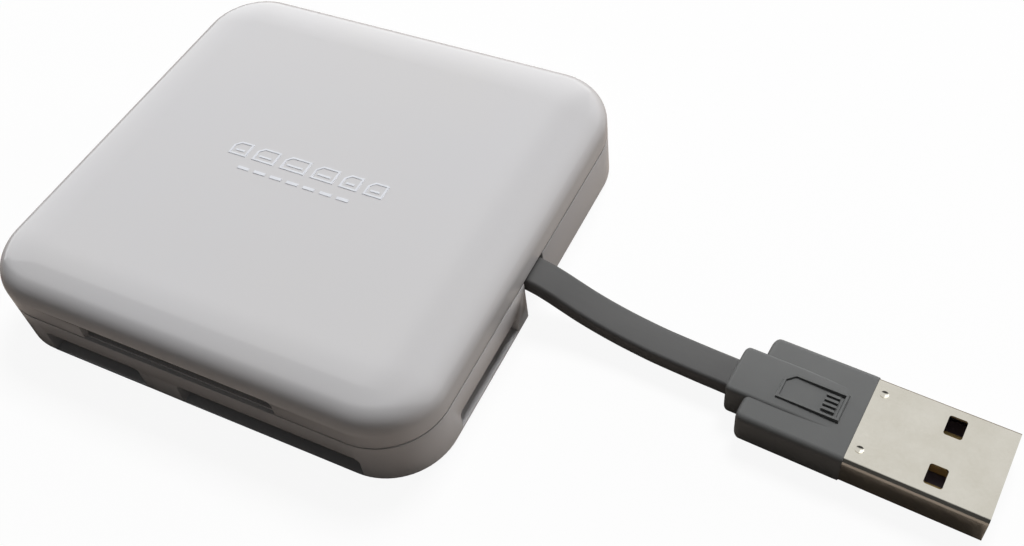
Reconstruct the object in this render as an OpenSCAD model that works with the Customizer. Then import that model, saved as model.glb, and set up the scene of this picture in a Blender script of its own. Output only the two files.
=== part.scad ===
// Memory card reader: a flat square housing with four card slots and a short flat cable that ends in a plug.
// The origin is the middle of the housing's underside. The card side faces -Y and the cable leaves on +X.

/* [Housing] */
// Width of the housing, from its left side to the cable side
body_w = 63; // [62:0.5:72]
// Depth of the housing, from the card side to the back
body_d = 60; // [58:0.5:72]
// Corner radius of the housing, seen from above
corner_r = 8.5; // [8.2:0.1:9.5]
// Thickness of the side walls
wall = 1.6; // [1.4:0.1:1.8]
// Thickness of the bottom cover's floor
floor_t = 0.8; // [0.7:0.1:1.2]
// Thickness of the top cover's roof at its middle
roof_t = 1.8; // [1.4:0.1:2]
// Height of the top cover above the seam
cover_h = 5.8; // [5.6:0.1:7]
// Radius of the tight round along the top edge
edge_r = 3.2; // [2.8:0.1:3.4]
// Radius of the soft shoulder inside that round
shoulder_r = 22; // [16:1:23]
// Radius of the round along the bottom edge
bottom_r = 0.6; // [0.3:0.1:0.7]

/* [Seam] */
// Height of the lip that locates the covers
lip_h = 0.9; // [0.6:0.1:1.1]
// Thickness of that lip
lip_t = 0.7; // [0.5:0.1:0.8]
// Clearance between the lip and the top cover
lip_gap = 0.1; // [0.05:0.05:0.2]
// Width of the shadow line along the seam
seam_line = 0.15; // [0.1:0.05:0.3]
// Depth of that line
line_deep = 0.5; // [0.2:0.05:0.6]

/* [Slots in the covers] */
// Width of the upper slot
upper_slot_w = 27.9; // [26:0.1:28.5]
// Height of the upper slot above the seam
upper_slot_h = 2.25; // [2:0.05:2.4]
// Middle of the upper slot, from the middle of the housing
upper_slot_x = -0.45; // [-2:0.05:1]
// Width of the lower slot
lower_slot_w = 25.8; // [24:0.1:26.4]
// Height at which the lower slot ends
lower_slot_top = 3.9; // [3.6:0.1:4.2]
// How far the lower slot reaches into the housing's right corner
lower_slot_past = 0.9; // [0.5:0.1:1]
// Width of the left slot
left_slot_w = 14.7; // [13.5:0.1:15]
// Height at which the left slot ends
left_slot_top = 4.1; // [3.6:0.1:4.3]
// Place of the left slot in its room: 0 is against the side wall, 1 against the lower slot's socket
left_slot_share = 0.62; // [0.5:0.01:0.8]
// Width of the side slot
side_slot_w = 14.7; // [13:0.1:14.8]
// Height at which the side slot ends
side_slot_top = 3.4; // [3:0.1:3.8]
// Distance from the cable's stop to the side slot's socket
side_slot_gap = 1.45; // [0.4:0.05:1.6]
// Thickness of the sill under the lower slots
sill_t = 0.5; // [0.4:0.1:0.6]
// Radius of the slots' upper corners
slot_r = 0.6; // [0.3:0.1:0.9]

/* [Card sockets] */
// Width of the card in the upper slot
upper_card_w = 24; // [23:0.5:25]
// Depth of the upper socket
upper_depth = 26; // [22:1:27]
// Width of the card in the lower slot
lower_card_w = 21.5; // [20:0.5:21.5]
// Depth of the lower socket
lower_depth = 22; // [18:1:23]
// Width of the card in the left slot
left_card_w = 12.5; // [11:0.5:12.5]
// Depth of the left socket
left_depth = 14.5; // [12:0.5:16]
// Width of the card in the side slot
side_card_w = 11; // [10:0.5:11.5]
// Depth of the side socket
side_depth = 7.9; // [7.4:0.1:8]
// Height of the sockets off the board
socket_h = 3.9; // [3.8:0.1:4]
// Play of a card in its socket, all told
card_play = 0.2; // [0.1:0.05:0.4]
// Thickness of the sockets' sheet metal
sheet_t = 0.2; // [0.15:0.05:0.25]
// Thickness of the spring contacts
spring_t = 0.15; // [0.1:0.05:0.2]

/* [Circuit board] */
// Thickness of the board
board_t = 1.2; // [1:0.1:1.6]
// Clearance between the board and the walls
board_gap = 0.5; // [0.3:0.1:0.8]
// Radius of the posts that hold the board
post_r = 1.5; // [1.3:0.1:1.6]
// Radius of the pins on the posts
pin_r = 0.75; // [0.6:0.05:0.85]
// Height of the pins above the board
pin_h = 1.4; // [1:0.1:2]
// Clearance round the pins
pin_gap = 0.06; // [0.04:0.01:0.1]

/* [Cable] */
// Width of the flat cable
cable_w = 4.2; // [4:0.1:4.8]
// Thickness of the flat cable
cable_t = 2.2; // [1.8:0.1:2.3]
// Width of the cable notch
notch_w = 5.1; // [5:0.1:5.8]
// Length of the cable channel inside the side of the housing
channel_l = 5; // [5:0.1:6]
// Thickness of the channel's walls
channel_wall = 1; // [0.8:0.1:1.2]
// Radius of the wires' insulation
wire_r = 0.45; // [0.35:0.05:0.5]
// Distance between neighbouring wires
wire_pitch = 1.2; // [1.1:0.05:1.3]

/* [Plug] */
// Width of the plug's metal shell
shell_w = 12; // [11.9:0.05:12.1]
// Height of the shell
shell_h = 4.5; // [4.4:0.05:4.6]
// Thickness of the shell's sheet metal
shell_t = 0.3; // [0.25:0.05:0.35]
// Length of the shell that shows
shell_l = 15.4; // [14:0.1:16]
// Length of the shell inside the grip
shell_in = 3.2; // [2.5:0.1:4]
// Length of the grip's block
grip_l = 12.4; // [10:0.1:16]
// Width of the grip's block
grip_w = 12.3; // [12.2:0.1:14]
// Height of the grip's block
grip_h = 4.7; // [4.7:0.1:6]
// Length of the grip's neck
neck_l = 2.4; // [2:0.1:4]
// Width of the neck and of the band on the grip
neck_w = 6.6; // [6:0.1:8]
// Height of the band above the grip
band_h = 0.15; // [0.1:0.05:0.3]
// Turn of the plug from the housing's axis
plug_yaw = -4.5; // [-6:0.5:-3]

/* [Hidden] */
$fn = 64;
over = 1; // how far a cutter runs past the face that it opens
fit = 0.4; // between a socket's mouth and the wall in front of it

// Turn of the surface, in degrees, at which the tight round passes into the shoulder
edge_turn = 76;
edge_drop = edge_r*sin(edge_turn) + shoulder_r*(1 - sin(edge_turn));
in_x = body_w/2 - wall;
in_y = body_d/2 - wall;

// Heights, from the floor up: sockets, board, sockets and roof
under_gap = 0.1;
board_z = floor_t + under_gap + socket_h;
board_top = board_z + board_t;
seat_h = 1.4; // from the board to the card, in the upper socket
sill_h = 0.2; // by which that card lies above the seam
seam_z = board_top + seat_h - sill_h;
body_h = seam_z + cover_h;
roof_z = body_h - roof_t;
roof_r = 2; // inside round between the walls and the roof

// Sockets
mouth_y = -in_y + fit;
mouth_x = in_x - fit;
lower_x = body_w/2 - corner_r + lower_slot_past - lower_slot_w/2;
upper_rail = 1.3;
left_rail = 1.2;
side_rail = 1.85;
lower_rail = 1.2;
back_wall = 1;
left_seat = 1.9; // from the board to the card
side_seat = 2.3;
lower_roof = 0.7;
lower_floor = 0.3;
flange_t = 1.5;
flange_over = 1.1; // by which the lower socket's flange passes the slot on each side
lower_body_x = lower_x - lower_slot_w/2 - flange_over; // left side of the lower socket
left_out_w = left_card_w + card_play + 2*left_rail + 2*sheet_t;
left_x = -in_x + left_out_w/2 + left_slot_share*(lower_body_x + in_x - left_out_w);
side_out_w = side_card_w + card_play + 2*side_rail + 2*sheet_t;

// Board
board_w = 2*(in_x - board_gap);
board_d = 2*(in_y - board_gap);
board_r = corner_r - wall - board_gap;
post_in = 3.2; // posts at the sides, from the inside of the walls
back_in = 5; // posts at the back, from both walls
post_gap = 1.2; // from a post to the piece in front of it

// Cable entry
exit_x = body_w/2 - channel_l;
end_wall = 1.6;
stop_l = 1.6; // length of the stop inside the end wall
stop_w = notch_w + 2*channel_wall + 0.2;
cable_z = 5.9;
cable_y = 0.3;
core_h = 2*(seam_z - cable_z);
board_cut = 6; // from the end of the channel to the board
side_slot_y = cable_y - stop_w/2 - side_slot_gap - side_out_w/2;
posts = [[in_x - post_in, cable_y + stop_w/2 + board_gap + post_gap + post_r],
    [post_in - in_x, mouth_y + left_depth + post_gap + post_r],
    [in_x - back_in, in_y - back_in], [back_in - in_x, in_y - back_in]];
wire_run = 2.8; // length of each wire on the board

// The cable's route, from the end wall of the channel to the neck of the plug
route = [[26.5, 0.3, 5.9], [28.5, 0.3, 5.95], [30.5, 0.3, 5.9], [32.5, 0.2, 5.6], [34.5, 0.05, 5],
    [36.5, -0.15, 4.3], [38.5, -0.4, 3.7], [40.5, -0.65, 3.25], [42.5, -0.9, 2.9], [44.5, -1.15, 2.65],
    [46.5, -1.4, 2.5], [48.5, -1.65, 2.4], [50.5, -1.85, 2.35], [52.5, -2.05, 2.35], [54.5, -2.25, 2.35],
    [56.5, -2.42, 2.35], [58.2, -2.569, 2.35]];

// Plug, from the back of its neck
neck_end = route[len(route) - 1];
shell_r = 0.7;
shell_x = neck_l + grip_l; // where the shell leaves the grip
tip_x = shell_x + shell_l;
window = [2, 2.6]; // latch window
window_tip = 5.3; // from the tip to the window
window_y = 3.3;
window_r = 0.3;
dimple_ball = 0.73; // pressed dimples: a ball's radius and how deep it sinks
dimple_deep = 0.2;
dimple_tip = 14.3;
dimple_y = 3.9;
tongue_t = 1.84;
tongue_gap = 0.1; // to the shell, on each side
tongue_tip = 0.6;
block_tip = 12; // from the tip to the thick part of the tongue
contact_w = 1;
contact_t = 0.3;
contact_rise = 0.05;
contact_y = [-3.5, -1, 1, 3.5];
contact_tip = [2, 3, 3, 2];
tail_l = 1.4;
grip_r = 0.7;
grip_corner = 0.9;
neck_h = 4.6;
neck_r = 0.7;

white = [0.93, 0.93, 0.94];
black = [0.1, 0.1, 0.1];
steel = [0.75, 0.76, 0.76];
gold = [0.85, 0.66, 0.3];
green = [0.1, 0.35, 0.2];
grey = [0.37, 0.37, 0.37];

// Sweeps a profile, measured outwards from the centre of a corner, round a rounded rectangle
module ring_sweep(w, d, r) {
    for (k = [0:3]) {
        sx = (k == 0 || k == 3) ? 1 : -1;
        sy = k < 2 ? 1 : -1;
        side = k % 2 == 0 ? d - 2*r : w - 2*r;
        translate([sx*(w/2 - r), sy*(d/2 - r), 0]) rotate(90*k) {
            rotate_extrude(angle = 90, $fn = 96) children();
            rotate([90, 0, 0]) linear_extrude(side) children();
        }
    }
}

// The middle of a rounded block, inside its corner centres
module core_block(w, d, r, z0, z1) {
    translate([r - w/2, r - d/2, z0]) cube([w - 2*r, d - 2*r, z1 - z0]);
}

// A slab with a rounded rectangle as its plan
module slab(w, d, r, z0, z1) {
    ring_sweep(w, d, r) translate([0, z0]) square([r, z1 - z0]);
    core_block(w, d, r, z0, z1);
}

// Half the section of the top cover: a wall, a tight round and a soft shoulder that meet without a corner
module cover_profile() {
    edge_c = [corner_r - edge_r, body_h - edge_drop];
    meet = edge_c + edge_r*[cos(edge_turn), sin(edge_turn)];
    soft_c = meet - shoulder_r*[cos(edge_turn), sin(edge_turn)];
    polygon([[0, seam_z], [corner_r, seam_z], [corner_r, edge_c[1]], edge_c, meet,
        [soft_c[0], meet[1]], [soft_c[0], body_h], [0, body_h]]);
    intersection() {
        translate(edge_c) circle(edge_r, $fn = 96);
        polygon([edge_c, edge_c + [2*edge_r, 0], 2*meet - edge_c]);
    }
    intersection() {
        translate(soft_c) circle(shoulder_r, $fn = 360);
        polygon([[soft_c[0], meet[1]], meet, 2*meet - soft_c, [soft_c[0], body_h + shoulder_r]]);
    }
}

// Half the section of the space inside the top cover
module cavity_profile(r) {
    translate([0, seam_z - over]) square([r, roof_z - roof_r - seam_z + over]);
    translate([0, roof_z - roof_r]) square([r - roof_r, roof_r]);
    intersection() {
        translate([r - roof_r, roof_z - roof_r]) circle(roof_r);
        translate([r - roof_r, roof_z - roof_r]) square(roof_r);
    }
}

// Half the section of the bottom cover
module tray_profile() {
    translate([0, bottom_r]) square([corner_r, seam_z - bottom_r]);
    square([corner_r - bottom_r, bottom_r]);
    intersection() {
        translate([corner_r - bottom_r, bottom_r]) circle(bottom_r);
        translate([corner_r - bottom_r, 0]) square(bottom_r);
    }
}

// A slot's outline, with two round upper corners
module slot_outline(w, h) {
    translate([-w/2, 0]) square([w, h - slot_r]);
    translate([slot_r - w/2, h - slot_r]) square([w - 2*slot_r, slot_r]);
    for (s = [-1, 1]) translate([s*(w/2 - slot_r), h - slot_r]) circle(slot_r);
}

// A cutter through the front wall, from z0 up to z1
module front_cut(x, w, z0, z1) {
    translate([x, over - in_y, z0]) rotate([90, 0, 0])
        linear_extrude(wall + 2*over) slot_outline(w, z1 - z0);
}

// Top cover, with the upper slot in its rim and posts that press on the board
module top_cover() color(white) difference() {
    union() {
        difference() {
            union() {
                ring_sweep(body_w, body_d, corner_r) cover_profile();
                core_block(body_w, body_d, corner_r, seam_z, body_h);
            }
            ring_sweep(2*in_x, 2*in_y, corner_r - wall) cavity_profile(corner_r - wall);
            core_block(2*in_x, 2*in_y, corner_r - wall, seam_z - over, roof_z);
        }
        for (p = posts) translate([p[0], p[1], board_top])
            cylinder(r = post_r, h = roof_z + over/2 - board_top);
        cable_ribs();
    }
    lip_space();
    front_cut(upper_slot_x, upper_slot_w, seam_z - over, seam_z + upper_slot_h);
    for (p = posts) translate([p[0], p[1], board_top - over])
        cylinder(r = pin_r + pin_gap, h = pin_h + pin_gap + over);
}

// The rebate that the bottom cover's lip stands in
module lip_space() difference() {
    reach = lip_t + lip_gap;
    top = seam_z + lip_h + lip_gap;
    slab(2*(in_x + reach), 2*(in_y + reach), corner_r - wall + reach, seam_z - over, top);
    slab(2*(in_x - lip_gap), 2*(in_y - lip_gap), corner_r - wall - lip_gap, seam_z - 2*over, top + over);
}

// Ribs that carry the channel's walls on up to the roof, with one that holds the cable's stop down
module cable_ribs() translate([0, cable_y, 0]) {
    y0 = notch_w/2;
    high = roof_z + over/2 - seam_z;
    for (s = [0, 1]) mirror([0, s, 0]) translate([exit_x - end_wall, y0, seam_z])
        cube([in_x - exit_x + end_wall + over/2, channel_wall, high]);
    translate([exit_x - end_wall, -y0 - channel_wall, seam_z])
        cube([end_wall, notch_w + 2*channel_wall, high]);
}

// Bottom cover: a tray with three slots, the cable notch and channel, posts and ribs
module bottom_cover() color(white) difference() {
    union() {
        difference() {
            union() {
                ring_sweep(body_w, body_d, corner_r) tray_profile();
                core_block(body_w, body_d, corner_r, 0, seam_z);
            }
            slab(2*in_x, 2*in_y, corner_r - wall, floor_t, seam_z + over);
        }
        lip();
        channel();
        for (p = posts) translate([p[0], p[1], floor_t/2]) {
            cylinder(r = post_r, h = board_z - floor_t/2);
            cylinder(r = pin_r, h = board_top + pin_h - floor_t/2);
        }
        board_ribs();
    }
    shadow_line();
    front_cut(lower_x, lower_slot_w, sill_t, lower_slot_top);
    front_cut(left_x, left_slot_w, sill_t, left_slot_top);
    translate([in_x - over, side_slot_y, floor_t]) rotate([90, 0, 90])
        linear_extrude(wall + 2*over) slot_outline(side_slot_w, side_slot_top - floor_t);
    translate([exit_x, cable_y - notch_w/2, -over])
        cube([channel_l + over, notch_w, seam_z + lip_h + 2*over]);
}

// The lip, left out at the upper slot
module lip() difference() {
    slab(2*(in_x + lip_t), 2*(in_y + lip_t), corner_r - wall + lip_t, seam_z - over/2, seam_z + lip_h);
    slab(2*in_x, 2*in_y, corner_r - wall, seam_z - over, seam_z + lip_h + over);
    translate([upper_slot_x - upper_slot_w/2 - over, -body_d/2, seam_z])
        cube([upper_slot_w + 2*over, wall + over, lip_h + over]);
}

// A fine step round the rim that shows as the seam's dark line
module shadow_line() difference() {
    in = line_deep;
    top = seam_z + lip_h + 2*over;
    slab(body_w + 2*over, body_d + 2*over, corner_r + over, seam_z - seam_line, top);
    slab(body_w - 2*in, body_d - 2*in, corner_r - in, seam_z - seam_line - over, top + over);
}

// The channel's two sides and its end wall, on which the cable's stop sits
module channel() translate([0, cable_y, 0]) {
    y0 = notch_w/2;
    for (s = [0, 1]) mirror([0, s, 0]) translate([exit_x - end_wall, y0, floor_t/2])
        cube([in_x - exit_x + end_wall + over/2, channel_wall, seam_z - floor_t/2]);
    translate([exit_x - end_wall, -y0 - channel_wall, floor_t/2])
        cube([end_wall, notch_w + 2*channel_wall, cable_z - core_h/2 - floor_t/2]);
}

// Two ribs under the back half of the board
module board_ribs() {
    rib_t = 1;
    rib_x = in_x/2;
    rib_y = 3;
    for (s = [-1, 1]) translate([s*rib_x - rib_t/2, rib_y, floor_t/2])
        cube([rib_t, in_y - 2*rib_y, board_z - floor_t/2]);
}

// Circuit board, with holes for the pins and a cut-out for the cable
module circuit_board() color(green) difference() {
    slab(board_w, board_d, board_r, board_z, board_top);
    for (p = posts) translate([p[0], p[1], board_z - over])
        cylinder(r = pin_r + pin_gap, h = board_t + 2*over);
    translate([exit_x - board_cut, cable_y - stop_w/2 - board_gap, board_z - over])
        cube([board_cut + channel_l, stop_w + 2*board_gap, board_t + 2*over]);
    for (s = [-1, 1]) translate([crystal_at[0] + s*crystal_pitch/2, crystal_at[1], board_z - over])
        cylinder(r = crystal_pin_r, h = board_t + 2*over, $fn = 24);
}

// A socket's moulded body. It hangs from z = 0 with its mouth at y = 0, and sheet metal closes it below.
module socket_body(card_w, rail, depth, seat, n, pitch) difference() {
    open_w = card_w + card_play;
    foot = socket_h - sheet_t;
    translate([-open_w/2 - rail, 0, -foot]) cube([open_w + 2*rail, depth, foot]);
    translate([-open_w/2, -over, -foot - over])
        cube([open_w, depth - back_wall + over, foot - seat + over]);
    spring_notches(depth, seat, n, pitch);
}

// The steel cover of a socket: a plate with two bent sides and two pressed tongues
shield_in = 0.4;
shield_side = 1.8;
tongue_w = 1.6;
module socket_shield(card_w, rail, depth) difference() {
    out_w = card_w + card_play + 2*rail;
    foot = socket_h - sheet_t;
    tongue = [tongue_w, depth/4];
    slit = 0.25;
    union() {
        translate([-out_w/2 - sheet_t, shield_in, -socket_h])
            cube([out_w + 2*sheet_t, depth - 2*shield_in, sheet_t]);
        for (s = [0, 1]) mirror([s, 0, 0])
            translate([out_w/2, shield_in, -foot]) cube([sheet_t, depth - 2*shield_in, shield_side]);
    }
    for (s = [-1, 1]) translate([s*card_w/4, depth/2, -socket_h]) difference() {
        translate([-tongue[0]/2 - slit, 0, -over]) cube([tongue[0] + 2*slit, tongue[1], sheet_t + 2*over]);
        translate([-tongue[0]/2, slit, -2*over]) cube([tongue[0], tongue[1], sheet_t + 4*over]);
    }
}

// One spring contact as seen from the side. Its tail meets the board at z = 0, with a foot if there is room.
function spring_outline(depth, seat, foot) = let (t = spring_t, tip = depth*spring_start,
        low = -seat - spring_dip, bend = tip + spring_nose, flat = tip + spring_reach) concat(
    [[tip, -seat - spring_lift], [bend, low], [flat, -seat], [depth, -seat], [depth, 0]],
    foot > t ? [[depth + foot, 0], [depth + foot, -t], [depth + t, -t]] : [[depth + t, 0]],
    [[depth + t, -seat - t], [flat, -seat - t], [bend, low - t], [tip, -seat - spring_lift - t]]);
spring_w = 0.6;
spring_dip = 0.5; // how far the bend stands into the card's space
spring_lift = 0.2;
spring_nose = 0.8; // from the tip to the bend
spring_reach = 2.6; // from the tip to the flat stretch
spring_foot = 0.9;
spring_start = 0.45; // share of the socket's depth in front of the tip

module springs(depth, seat, n, pitch, foot = spring_foot) for (k = [0:n - 1])
    translate([(k - (n - 1)/2)*pitch + spring_w/2, 0, 0]) rotate([90, 0, -90]) mirror([1, 0, 0])
        linear_extrude(spring_w) polygon(spring_outline(depth, seat, foot));

module spring_notches(depth, seat, n, pitch) for (k = [0:n - 1])
    translate([(k - (n - 1)/2)*pitch - spring_w/2, depth - back_wall - over, -seat - spring_t])
        cube([spring_w, back_wall + 2*over, spring_t]);

// Places what hangs under the board or stands on it, with its mouth towards the card side
module on_board(x) translate([x, mouth_y, board_top]) mirror([0, 0, 1]) children();
module under_board(x) translate([x, mouth_y, board_z]) children();
module at_side() translate([mouth_x, side_slot_y, board_z]) rotate(90) children();

upper_pins = 9;
upper_pitch = 2.5;
left_pins = 11;
left_pitch = 1;
side_pins = 8;
side_pitch = 1.1;
lower_pins = 10;
lower_pitch = 1.9;

module upper_socket_body() color(black) on_board(upper_slot_x)
    socket_body(upper_card_w, upper_rail, upper_depth, seat_h, upper_pins, upper_pitch);
module upper_socket_shield() color(steel) on_board(upper_slot_x)
    socket_shield(upper_card_w, upper_rail, upper_depth);
module upper_socket_contacts() color(gold) on_board(upper_slot_x)
    springs(upper_depth, seat_h, upper_pins, upper_pitch);

module left_socket_body() color(black) under_board(left_x)
    socket_body(left_card_w, left_rail, left_depth, left_seat, left_pins, left_pitch);
module left_socket_shield() color(steel) under_board(left_x)
    socket_shield(left_card_w, left_rail, left_depth);
module left_socket_contacts() color(gold) under_board(left_x)
    springs(left_depth, left_seat, left_pins, left_pitch);

module side_socket_body() color(black) at_side()
    socket_body(side_card_w, side_rail, side_depth, side_seat, side_pins, side_pitch);
module side_socket_shield() color(steel) at_side()
    socket_shield(side_card_w, side_rail, side_depth);
module side_socket_contacts() color(gold) at_side()
    springs(side_depth, side_seat, side_pins, side_pitch, 0);

// The lower socket is all moulded: a sleeve round the card and a flange that fills the wider slot
lower_open = lower_card_w + card_play;
lower_mid = lower_body_x + lower_rail + lower_open/2;
module lower_socket_body() color(black) difference() {
    union() {
        translate([lower_body_x, mouth_y, board_z - socket_h])
            cube([lower_open + 2*lower_rail, lower_depth, socket_h]);
        translate([lower_body_x, mouth_y, board_z - socket_h])
            cube([lower_slot_w + 2*flange_over, flange_t, socket_h]);
    }
    translate([lower_mid - lower_open/2, mouth_y - over, board_z - socket_h + lower_floor])
        cube([lower_open, lower_depth - back_wall + over, socket_h - lower_floor - lower_roof]);
    under_board(lower_mid) spring_notches(lower_depth, lower_roof, lower_pins, lower_pitch);
}
module lower_socket_contacts() color(gold) under_board(lower_mid)
    springs(lower_depth, lower_roof, lower_pins, lower_pitch);

// Parts on the board
chip_w = 7;
chip_h = 1.4;
chip_stand = 0.1;
chip_in = [36, 12]; // from the right wall and the back wall to its middle
chip_at = [in_x - chip_in[0], in_y - chip_in[1]];
lead_n = 12;
lead_pitch = 0.5;
lead_w = 0.22;
lead_t = 0.15;
lead_reach = 1;
crystal = [11.2, 4.7]; // base of the crystal's can
crystal_rim = 0.4;
crystal_rim_h = 0.5;
crystal_h = 2.7;
crystal_gap = 2.9; // to the controller's leads
crystal_y = 4.5; // from the controller's middle
crystal_at = [chip_at[0] + chip_w/2 + lead_reach + crystal_gap + crystal[0]/2, chip_at[1] + crystal_y];
crystal_pitch = 4.9;
crystal_pin_r = 0.22;
crystal_pin = 0.5; // below the board
regulator_in = 12; // from the side wall
regulator_y = -3; // from the controller's middle
regulator_at = [in_x - regulator_in, chip_at[1] + regulator_y];

module controller_chip() color(black) difference() {
    translate([chip_at[0] - chip_w/2, chip_at[1] - chip_w/2, board_top + chip_stand])
        cube([chip_w, chip_w, chip_h]);
    translate([chip_at[0] - chip_w/2 + 1, chip_at[1] + chip_w/2 - 1, board_top + chip_stand + chip_h - 0.1])
        cylinder(r = 0.4, h = over, $fn = 24);
}

// One gull-wing lead from the side of a package at x = 0, which bends down to the board
module gull_lead(reach, height, w, t) rotate([90, 0, 0]) translate([0, 0, -w/2]) linear_extrude(w)
    polygon([[0, height], [reach*0.45, height], [reach*0.55, t], [reach, t], [reach, 0],
        [reach*0.4, 0], [reach*0.3, height - t], [0, height - t]]);

module controller_leads() color(steel) for (side = [0:3]) for (k = [0:lead_n - 1])
    translate([chip_at[0], chip_at[1], board_top]) rotate(90*side)
        translate([chip_w/2, (k - (lead_n - 1)/2)*lead_pitch, 0])
            gull_lead(lead_reach, chip_stand + chip_h/2, lead_w, lead_t);

// A rounded bar with flat sides, standing on the board
module stadium(l, w, h) {
    translate([w/2 - l/2, -w/2, 0]) cube([l - w, w, h]);
    for (s = [0, 1]) mirror([s, 0, 0]) translate([l/2 - w/2, 0, 0]) rotate(-90)
        rotate_extrude(angle = 180) square([w/2, h]);
}

module clock_crystal() color(steel) translate([crystal_at[0], crystal_at[1], board_top]) {
    stadium(crystal[0], crystal[1], crystal_rim_h);
    translate([0, 0, crystal_rim_h])
        stadium(crystal[0] - 2*crystal_rim, crystal[1] - 2*crystal_rim, crystal_h - crystal_rim_h);
    for (s = [-1, 1]) translate([s*crystal_pitch/2, 0, -board_t - crystal_pin])
        cylinder(r = crystal_pin_r, h = board_t + crystal_pin, $fn = 24);
}

regulator = [6.5, 3.5, 1.6];
regulator_lead = [0.7, 0.25, 1.7]; // width, thickness and reach
regulator_pitch = 2.3;
regulator_tab = 3;
bulk = [3.5, 2.8, 1.9];
bulk_x = 6.75; // from the regulator's middle to the large capacitor's
module voltage_regulator() color(black)
    translate([regulator_at[0] - regulator[0]/2, regulator_at[1] - regulator[1]/2, board_top])
        cube(regulator);
module regulator_leads() color(steel) translate([regulator_at[0], regulator_at[1], board_top]) {
    w = regulator_lead[0];
    t = regulator_lead[1];
    reach = regulator_lead[2];
    for (k = [-1:1]) translate([k*regulator_pitch, -regulator[1]/2, 0]) rotate(-90)
        gull_lead(reach, regulator[2]/2, w, t);
    translate([0, regulator[1]/2, 0]) rotate(90) gull_lead(reach, regulator[2]/2, regulator_tab, t);
}

module bulk_capacitor() color([0.85, 0.6, 0.2])
    translate([regulator_at[0] - bulk_x - bulk[0]/2, regulator_at[1] - bulk[1]/2, board_top]) cube(bulk);

// A small two-ended part with raised metal ends
module chip_part(w, d, h) {
    cap = 0.3;
    in = 0.05;
    for (s = [0, 1]) mirror([s, 0, 0]) translate([w/2 - cap, -d/2, 0]) cube([cap, d, h]);
    translate([cap - w/2, in - d/2, in]) cube([w - 2*cap, d - 2*in, h - 2*in]);
}

place_step = 3; // between neighbours
place_y = 6; // from the controller's middle to the rows in front of it and behind it
place_x = [8, 11]; // from the controller's middle to the two columns beside it
small = [1.6, 0.8];
cap_h = 0.8;
res_h = 0.45;
cap_places = [for (k = [-1.5:1.5]) [chip_at[0] - place_x[0], chip_at[1] + k*place_step],
    for (k = [-1:1]) [chip_at[0] + k*place_step, chip_at[1] - place_y],
    [regulator_at[0] + 2*place_step, regulator_at[1]]];
res_places = [for (k = [-1.5:1.5]) [chip_at[0] - place_x[1], chip_at[1] + k*place_step],
    for (k = [-1.5:1.5]) [chip_at[0] + k*place_step, chip_at[1] + place_y]];
module capacitors() color([0.7, 0.6, 0.45]) for (p = cap_places)
    translate([p[0], p[1], board_top]) rotate(90) chip_part(small[0], small[1], cap_h);
module resistors() color([0.15, 0.15, 0.16]) for (p = res_places)
    translate([p[0], p[1], board_top]) rotate(90) chip_part(small[0], small[1], res_h);

// The stop moulded on the cable: a core between the channel's walls and a flange behind them
module cable_grip() color(grey) translate([0, cable_y, 0]) {
    play = 0.05;
    translate([exit_x - end_wall, play - notch_w/2, cable_z - core_h/2])
        cube([end_wall, notch_w - 2*play, core_h]);
    translate([exit_x - end_wall - stop_l, -stop_w/2, cable_z - core_h/2 - 0.4])
        cube([stop_l, stop_w, core_h + 0.3]);
}

// Direction of a route at its point i, with straight ends
function way(r, i) = let (a = r[max(i - 1, 0)], b = r[min(i + 1, len(r) - 1)]) (b - a)/norm(b - a);

// Corners of a flat section with round edges: t thick, w wide
function flat_section(w, t) = [for (s = [1, -1]) for (a = [-90:45:90])
    [s*(w/2 - t/2) + s*t/2*cos(a), s*t/2*sin(a)]];
function round_section(r) = [for (a = [0:45:315]) r*[cos(a), sin(a)]];

// Sweeps a section along a route. Each ring stands square to the route, with the section's width level.
module sweep(r, section, first, last) {
    n = len(section);
    points = [for (i = [0:len(r) - 1]) let (
        d = i == 0 ? first : i == len(r) - 1 ? last : way(r, i),
        across = cross([0, 0, 1], d)/norm(cross([0, 0, 1], d)),
        up = cross(d, across)) for (p = section) r[i] + p[0]*across + p[1]*up];
    sides = [for (i = [0:len(r) - 2]) for (k = [0:n - 1]) let (
        a = i*n + k, b = i*n + (k + 1) % n) each [[a, a + n, b], [b, a + n, b + n]]];
    end = (len(r) - 1)*n;
    polyhedron(points, concat([[for (k = [0:n - 1]) k]], sides, [[for (k = [n - 1:-1:0]) end + k]]));
}

along_plug = [cos(plug_yaw), sin(plug_yaw), 0];
module usb_cable() color(grey) sweep(route, flat_section(cable_w, cable_t), [1, 0, 0], along_plug);

// One of the four wires, from the stop up over the edge of the board
module wire(k) {
    from = exit_x - end_wall - stop_l;
    edge = exit_x - board_cut;
    y = cable_y + (k - 1.5)*wire_pitch;
    pad_z = board_top + wire_r;
    sweep([[from, y, cable_z], [from - 0.8, y, cable_z + 0.02], [edge + 0.9, y, pad_z - 0.15],
        [edge + 0.2, y, pad_z], [edge - wire_run, y, pad_z]], round_section(wire_r), [-1, 0, 0], [-1, 0, 0]);
}
module wire_red() color("red") wire(0);
module wire_white() color("white") wire(1);
module wire_green() color("green") wire(2);
module wire_black() color(black) wire(3);

// Places the plug behind the cable's end, flat on the surface that the housing stands on
module at_plug() translate([neck_end[0], neck_end[1], grip_h/2]) rotate(plug_yaw) children();

// A bar along X with a rounded section, w wide and h high, with its middle at z = 0
module rounded_bar(x0, x1, w, h, r) translate([x0, 0, 0]) rotate([90, 0, 90]) linear_extrude(x1 - x0) {
    square([w - 2*r, h], center = true);
    square([w, h - 2*r], center = true);
    for (sx = [-1, 1]) for (sy = [-1, 1]) translate([sx*(w/2 - r), sy*(h/2 - r)]) circle(r, $fn = 48);
}

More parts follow.
